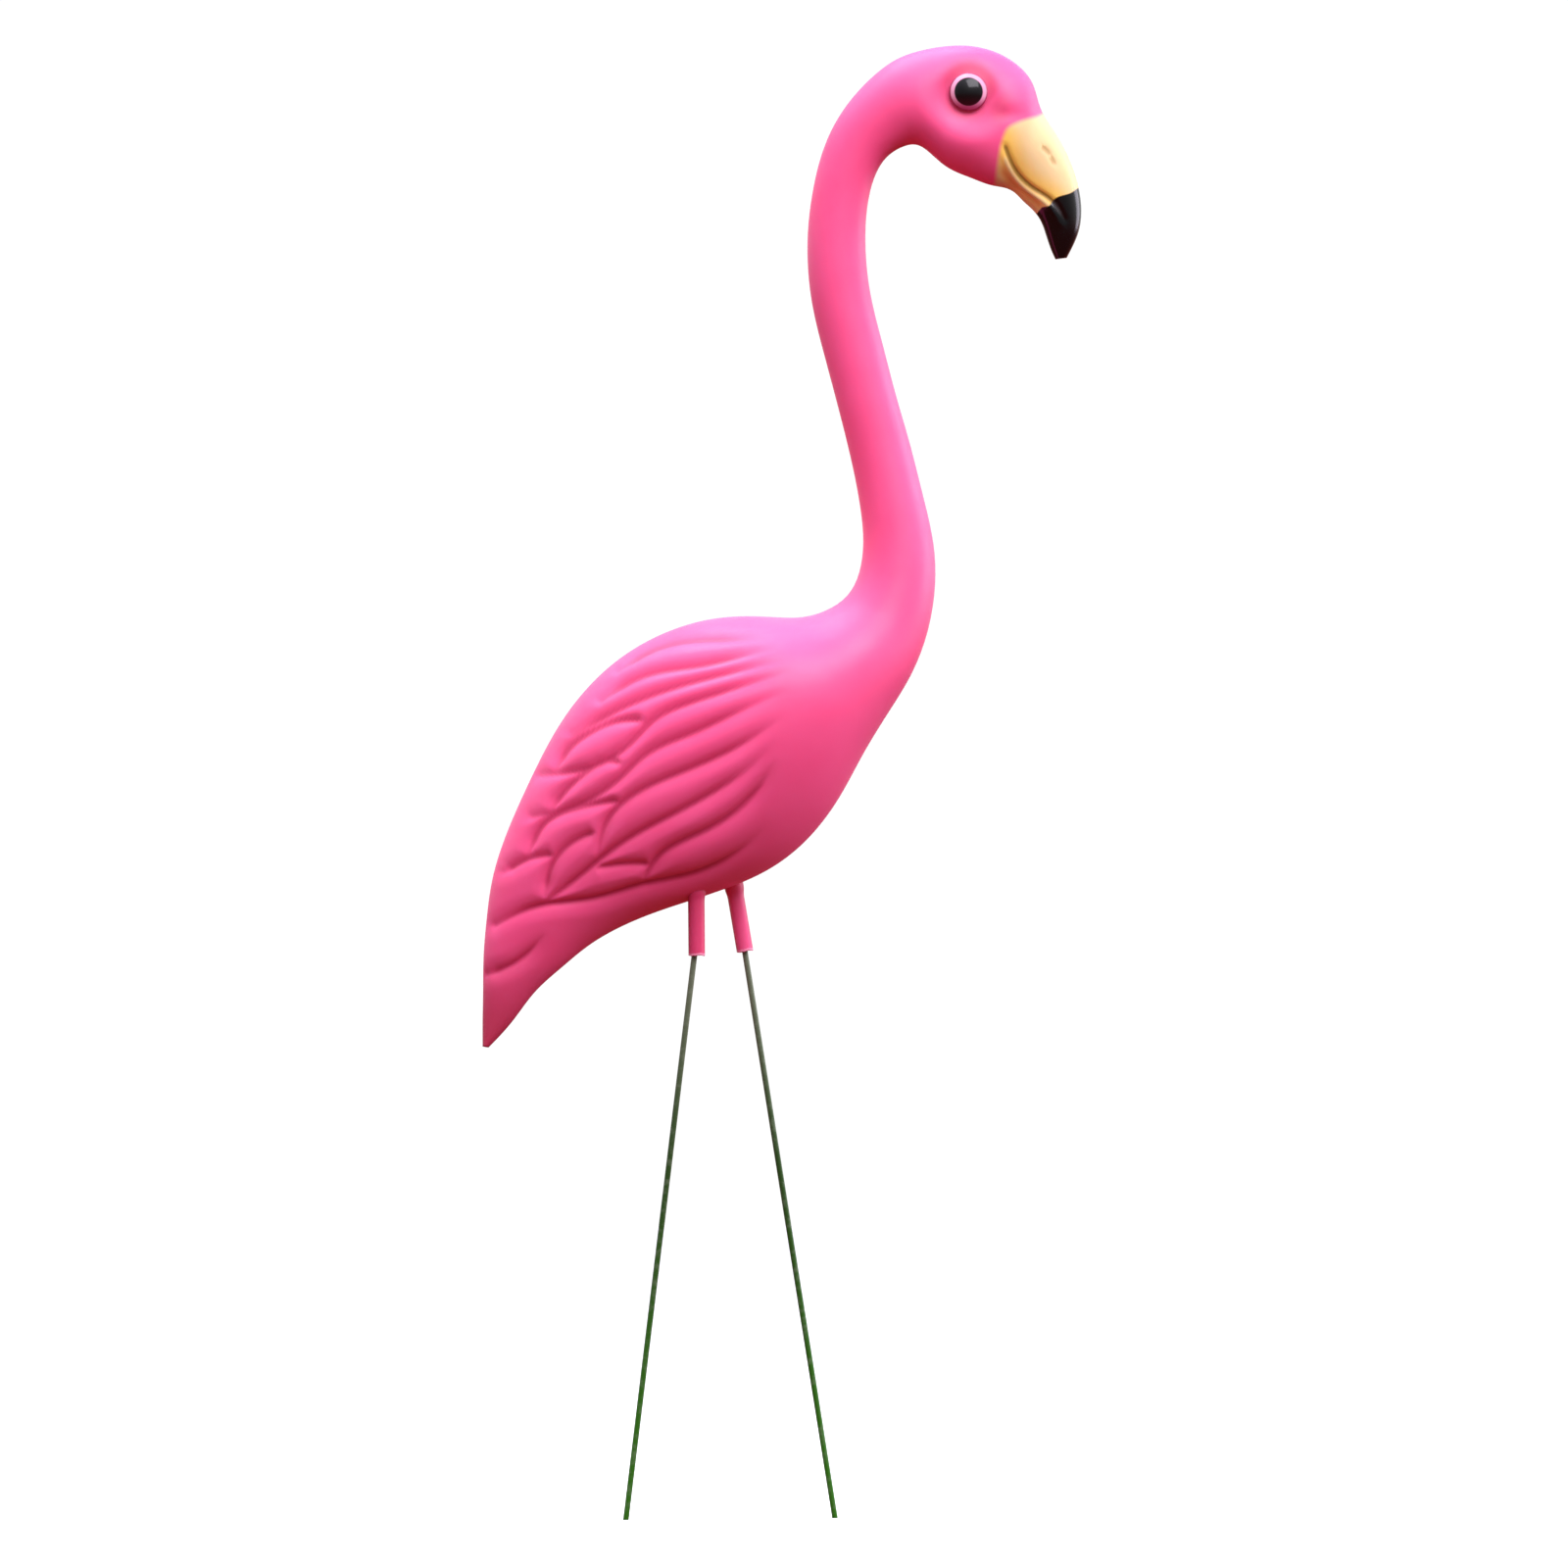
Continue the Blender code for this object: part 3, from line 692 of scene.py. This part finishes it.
def capped(grid):
    """The grid with rings added at both ends that draw together on a quarter circle."""
    turns = np.linspace(0, np.pi / 2, CAP_STEPS + 1)[1:-1]
    near = [grid[0].mean(axis=0) + (grid[0] - grid[0].mean(axis=0)) * math.cos(t) for t in turns[::-1]]
    far = [grid[-1].mean(axis=0) + (grid[-1] - grid[-1].mean(axis=0)) * math.cos(t) for t in turns]
    return np.concatenate([np.array(near), grid, np.array(far)])


def capped_values(values):
    """A layer with the same rings added as capped adds."""
    ends = CAP_STEPS - 1
    return np.concatenate([values[:1]] * ends + [values] + [values[-1:]] * ends)


plastic = satin_polyethylene()
skin_points = np.clip(capped(carved), *np.array(cad_bounds))
skin_layers = {name: capped_values(values) for name, values in layers.items()}
piece("figure_skin", closed_mesh("figure_skin", skin_points, skin_layers), plastic, "body")

# %% [markdown]
# Leg spouts
#
# Two short tubes hang under the belly, moulded with the skin and then cut open, so their mouths are a little
# ragged. Each is a profile turned round its axis: down the outside from a flare inside the belly, round the
# lip, and up the bore. A deeper red is painted on them as shade: more on the rear one, more toward the belly,
# and along the two sides that face the tail and the beak.

# %% Turn a profile round an axis
SPOUT_RADIUS, SPOUT_WALL, SPOUT_LENGTH = 0.00485, 0.00095, 0.056
SPOUT_TOP, BORE_TOP, LIP_FROM, LIP_LOW = 0.050, 0.034, 0.0006, -0.0001
FLARE_FROM, FLARE_RISE, FLARE_OUT = 0.030, 0.007, 0.0008
ROUGH_CUT, ROUGH_RISE = 0.00022, 0.0015
ON_AXIS = 0.0001


def turned(profile, base, axis, around=72, rough=0.0):
    """Grid of a profile turned round an axis, a ring for each (radius, height) of the profile.

    Point (i, v) is base + height(i) * axis + radius(i) * (cos v * first + sin v * second).
    """
    profile = np.array(profile, float)
    axis = Vector(axis).normalized()
    first = axis.orthogonal().normalized()
    second = axis.cross(first)
    v = np.linspace(0, 2 * np.pi, around, endpoint=False)
    wave = np.sin(3 * v + 1) + 0.6 * np.sin(7 * v + 2) + 0.4 * np.sin(13 * v)
    height = profile[:, 1:2] + rough * wave * np.exp(-((profile[:, 1:2] / ROUGH_RISE) ** 2))
    radius = profile[:, 0:1] * np.ones(around)
    return (
        np.array(base)
        + height[..., None] * np.array(axis)
        + (radius * np.cos(v))[..., None] * np.array(first)
        + (radius * np.sin(v))[..., None] * np.array(second)
    )


def spout_profile():
    """Outside from inside the belly down to the mouth, round its lip, and up the bore."""
    bore = SPOUT_RADIUS - SPOUT_WALL
    heights = np.linspace(SPOUT_TOP, LIP_FROM, 40)
    flare = [FLARE_OUT * float(smooth_step(FLARE_FROM, FLARE_FROM + FLARE_RISE, h)) ** 2 for h in heights]
    outside = [(SPOUT_RADIUS + out, h) for out, h in zip(flare, heights)]
    half = SPOUT_WALL / 2
    turns = np.linspace(0, math.pi, 7)
    lip = [(SPOUT_RADIUS - half + half * math.cos(t), LIP_LOW - half * math.sin(t)) for t in turns]
    inside = [(bore, h) for h in np.linspace(LIP_FROM, BORE_TOP, 12)]
    return [(ON_AXIS, SPOUT_TOP)] + outside + lip + inside + [(ON_AXIS, BORE_TOP)]


# %% Spouts
# Root on the drawing, lean in radians, place sideways, and how much painted shade the plastic has at the
# mouth.
SPOUTS = {
    "rear": ((-34.4, 190.2), math.radians(0.5), -0.012, 0.75),
    "front": ((-1.7, 192.7), math.radians(9.6), 0.012, 0.25),
}
# Painted shade: it grows toward the belly over this rise, and darkens the spouts' two sides.
SHADE_UPWARD, SHADE_RISE = 0.25, 0.030
EDGE_FROM, EDGE_DARK_FROM, EDGE_DARK = 0.45, 0.65, 0.8
profile = spout_profile()
for name, (root_at, lean, side, spout_shade) in SPOUTS.items():
    axis = Vector((-math.sin(lean), 0, math.cos(lean)))
    mouth = place(*root_at) - axis * SPOUT_LENGTH
    mouth.y = side
    spout = turned(profile, mouth, axis, rough=ROUGH_CUT)
    rise = np.array(profile)[:, 1:2] * np.ones(spout.shape[1])
    aside = np.abs(spout[..., 0] - spout[..., 0].mean(axis=1, keepdims=True)) / SPOUT_RADIUS
    spout_layers = {layer_name: np.full(spout.shape[:2], plain_value(layer_name)) for layer_name in layers}
    spout_layers["cut_mm"] = 1000 * rise
    # Painted shade along the two sides that face the tail and the beak.
    spout_layers["hollow"] = smooth_step(EDGE_FROM, 1.0, aside)
    spout_layers["groove"] = EDGE_DARK * smooth_step(EDGE_DARK_FROM, 1.0, aside)
    # Painted shade under the belly: more on the rear spout and toward the root.
    spout_layers["socket"] = spout_shade + SHADE_UPWARD * smooth_step(0, SHADE_RISE, rise)
    piece("spout_" + name, closed_mesh("spout_" + name, spout, spout_layers), plastic, None)

# %% [markdown]
# Eyes
#
# The eye is a cast acrylic button with a painted pupil and ring under a hard clear gloss. Its face is a
# segment of a ball over a short straight side that sits in the socket. The radius of each point is stored as
# a layer, so the pupil and the ring are rings of colour. The lower half is painted redder and darker: a
# painted reflection of the red round it.

# %% Acrylic
PUPIL_MM, RIM_MM = (7.9, 8.7), (10.0, 11.0)
# Heights, from the eye's centre, over which the painted reflection of the red fades out upward.
RED_LOW, RED_HIGH = -0.010, -0.002


def acrylic_eye():
    """Pupil, pale ring and dark rim by radius, with a painted red reflection low down, under a clear coat."""
    material, tree, shader = new_material("acrylic_eye")
    radius = layer(tree, "radius_mm")
    # Painted reflection: the ring and the pupil are redder and darker low down.
    low = step(tree, height_of(tree), eye_at.z + RED_LOW, eye_at.z + RED_HIGH, 1.0, 0.0)
    ring = blend(tree, low, "E8A0C0", "C04A80")
    rim = blend(tree, step(tree, radius, *RIM_MM), ring, "9A1C4C")
    pupil = blend(tree, low, "07060A", "3A0418")
    finish = {
        "Base Color": blend(tree, step(tree, radius, *PUPIL_MM), pupil, rim),
        "Roughness": 0.4,
        "Specular IOR Level": 0.15,
        "IOR": 1.49,
        "Coat Weight": 0.5,
        "Coat Roughness": 0.12,
    }
    give(tree, shader, finish)
    return material


# %% Eyes
EYE_RADIUS, EYE_DOME, EYE_SEAT, EYE_AROUND = 0.0111, 0.0048, 0.0030, 96
ball = (EYE_RADIUS**2 + EYE_DOME**2) / (2 * EYE_DOME)
widest = math.asin(EYE_RADIUS / ball)
angles = np.linspace(0.001, widest, 40)
face = [(ball * math.sin(a), EYE_SEAT + ball * math.cos(a) - ball + EYE_DOME) for a in angles]
eye_profile = face + [(EYE_RADIUS, EYE_SEAT * 0.5), (EYE_RADIUS, 0.0), (ON_AXIS, 0.0)]
radius_mm = 1000 * np.array(eye_profile)[:, 0:1] * np.ones(EYE_AROUND)
acrylic = acrylic_eye()
for name, side in (("right", -1), ("left", 1)):
    seat = place(*EYE_AT)
    seat.y = side * (EYE_RIM_OUT * SHARE - EYE_SEAT)
    eye = turned(eye_profile, seat, (0, side, 0), around=EYE_AROUND)
    mesh = closed_mesh("eye_dome", eye, {"radius_mm": radius_mm})
    piece("eye_" + name + "_dome", mesh, acrylic, "eye_" + name)

# %% [markdown]
# Leg rods
#
# The legs are straight steel wire with a thin green paint. The brighter green at the foot and the grey toward
# the top are a painted reflection of a green lawn below. A plain round rod gains nothing from a finer mesh,
# so the CAD solids stay and only get their paint.


# %% Painted steel
def painted_steel():
    """Green paint with a painted lawn reflection, brighter at the foot and greyer at the top, worn in small
    spots.
    """
    material, tree, shader = new_material("green_painted_steel")
    height = height_of(tree)
    # Painted reflection of a green lawn: brighter green at the foot, greyer toward the top.
    green = blend(tree, step(tree, height, 0.02, 0.22), "2C6E06", "284A16")
    colour = blend(tree, step(tree, height, 0.2, 0.33), green, "66705A")
    worn = step(tree, noise(tree, 0.004), 0.45, 0.75, 0.0, 0.35)
    colour = blend(tree, worn, colour, "7F8A74")
    finish = {"Base Color": colour, "Roughness": 0.42, "Metallic": 0.2, "Specular IOR Level": 0.35}
    give(tree, shader, finish)
    return material


steel = painted_steel()
for name in ("leg_rod_rear", "leg_rod_front"):
    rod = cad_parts[name]
    rod.data.materials.clear()
    rod.data.materials.append(steel)
    print(name, "keeps its CAD solid")

# %% [markdown]
# Studio
#
# The photo is a cut-out on white, taken square to the side from far away, with soft light from above and
# from both ends. The floor is plain white paper. It is kept out of the indirect light, and the world gives
# the soft light from below in its place: it is bright and cool overhead, and dim and warm below the horizon.
# Seen by the camera itself, the world is plain white, from every side.

# %% Floor
FLOOR_HALF = 6


def matt_paper():
    """White paper, very slightly uneven."""
    material, tree, shader = new_material("white_paper")
    tint = blend(tree, noise(tree, 0.4), "FFFFFF", "FBFBFB")
    give(tree, shader, {"Base Color": tint, "Roughness": 0.9})
    return material


floor_mesh = bpy.data.meshes.new("floor")
floor_corners = [(x * FLOOR_HALF, y * FLOOR_HALF, 0) for x, y in ((-1, -1), (1, -1), (1, 1), (-1, 1))]
floor_mesh.from_pydata(floor_corners, [], [(0, 1, 2, 3)])
floor = bpy.data.objects.new("floor", floor_mesh)
bpy.context.scene.collection.objects.link(floor)
floor_mesh.materials.append(matt_paper())
floor.visible_diffuse = False
floor.visible_glossy = False
print("floor:", 2 * FLOOR_HALF, "m wide")

# %% Sky
FROM_BELOW, SEEN_WHITE = 0.27, 1.05
world = bpy.data.worlds.new("studio")
bpy.context.scene.world = world
world.use_nodes = True
sky = world.node_tree
direction = add(sky, "ShaderNodeSeparateXYZ", {0: add(sky, "ShaderNodeTexCoord").outputs["Generated"]})
height, behind = direction.outputs["Z"], direction.outputs["Y"]
sides = step(sky, direction.outputs["X"], -0.8, 0.6, 0.9, 1.3)
horizon = step(sky, behind, -0.9, 0.3, 0.28, sides)
overhead = step(sky, behind, -0.9, 0.3, 0.7, 1.5)
ceiling = step(sky, height, 0.0, 0.75, horizon, overhead)
floor_share = step(sky, height, -0.3, 0.02, 1.0, 0.0)
sky_tint = blend(sky, step(sky, height, 0.1, 0.6), "FFFFFF", "F4F0FF")
tint = blend(sky, floor_share, sky_tint, "FF7660")
strength = step(sky, floor_share, 0.0, 1.0, ceiling, FROM_BELOW)
backdrop = add(sky, "ShaderNodeLightPath").outputs["Is Camera Ray"]
seen = {
    "Color": blend(sky, backdrop, tint, "FFFFFF"),
    "Strength": step(sky, backdrop, 0.0, 1.0, strength, SEEN_WHITE),
}
give(sky, sky.nodes["Background"], seen)
print("world:", len(sky.nodes), "nodes")


# %% Softboxes
def softbox(name, place_at, aim, width, height, power, tint):
    """A rectangular light at a place, turned toward its aim."""
    light = bpy.data.lights.new(name, "AREA")
    light.shape, light.size, light.size_y, light.energy = "RECTANGLE", width, height, power
    light.color = linear(tint)[:3]
    obj = bpy.data.objects.new(name, light)
    bpy.context.scene.collection.objects.link(obj)
    obj.location = place_at
    obj.rotation_euler = (Vector(aim) - Vector(place_at)).to_track_quat("-Z", "Y").to_euler()
    print(name, "light,", power, "W")


softbox("above", (-0.4, 0.2, 2.3), (0, 0, 0.5), 1.4, 1.2, 27, "F6F0FF")
softbox("front", (1.8, -3.75, 4.5), (0, 0, 0.2), 4.6, 3.8, 385, "FAF6FF")
softbox("right", (1.9, 0.5, 1.1), (0, 0, 0.55), 1.0, 1.5, 20, "F2ECFF")

# %% [markdown]
# Camera
#
# The camera stands 9 m away at half the object's height, square to its side, and its lens sets 0.572 mm to a
# pixel of the photo's 1600.

# %% Camera
METRES_PER_PIXEL, PIXELS, CAMERA_AWAY = 0.000572, 1600, 9.0
MIDDLE_X, MIDDLE_Z, SENSOR_MM = 0.0312, 0.429, 36
camera_data = bpy.data.cameras.new("camera")
camera_data.sensor_width = SENSOR_MM
camera_data.lens = SENSOR_MM * CAMERA_AWAY / (PIXELS * METRES_PER_PIXEL)
camera = bpy.data.objects.new("camera", camera_data)
bpy.context.scene.collection.objects.link(camera)
camera.location = (MIDDLE_X, -CAMERA_AWAY, MIDDLE_Z)
camera.rotation_euler = (math.pi / 2, 0, 0)
bpy.context.scene.camera = camera
bpy.context.scene.view_settings.view_transform = "Standard"
print("lens:", round(camera_data.lens), "mm")
